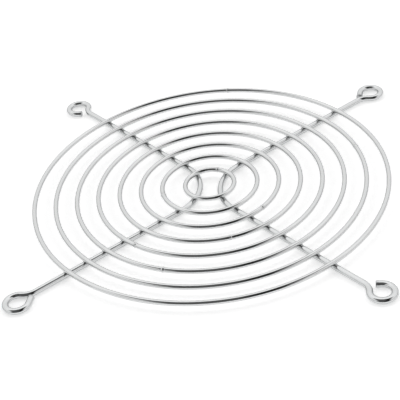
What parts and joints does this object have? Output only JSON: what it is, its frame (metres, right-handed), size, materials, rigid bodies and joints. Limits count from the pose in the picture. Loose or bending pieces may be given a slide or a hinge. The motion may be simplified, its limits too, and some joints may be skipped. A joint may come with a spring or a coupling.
{
  "type": "wire fan guard",
  "caption": "Round wire finger guard for a square axial fan: concentric rings welded across two bent ribs that end in screw eyes.",
  "frame": {"origin": "middle of the guard, on the plane that the undersides of the ribs lie in", "axes": "+Z away from the fan, from the ribs to the rings; the screw eyes lie towards +X+Y, -X+Y, -X-Y and +X-Y"},
  "size_m": [0.115, 0.1151, 0.0036],
  "materials": {
    "ring_wire": "bright plated, drawn wire",
    "rib_wire": "bright plated, drawn wire, dulled a little in the bends and at the welds"
  },
  "bodies": {
    "root": {"ring_1": "ring_wire", "ring_2": "ring_wire", "ring_3": "ring_wire", "ring_4": "ring_wire", "ring_5": "ring_wire", "ring_6": "ring_wire", "ring_7": "ring_wire", "ring_8": "ring_wire", "rib_left": "rib_wire", "rib_right": "rib_wire"}
  },
  "joints": []
}
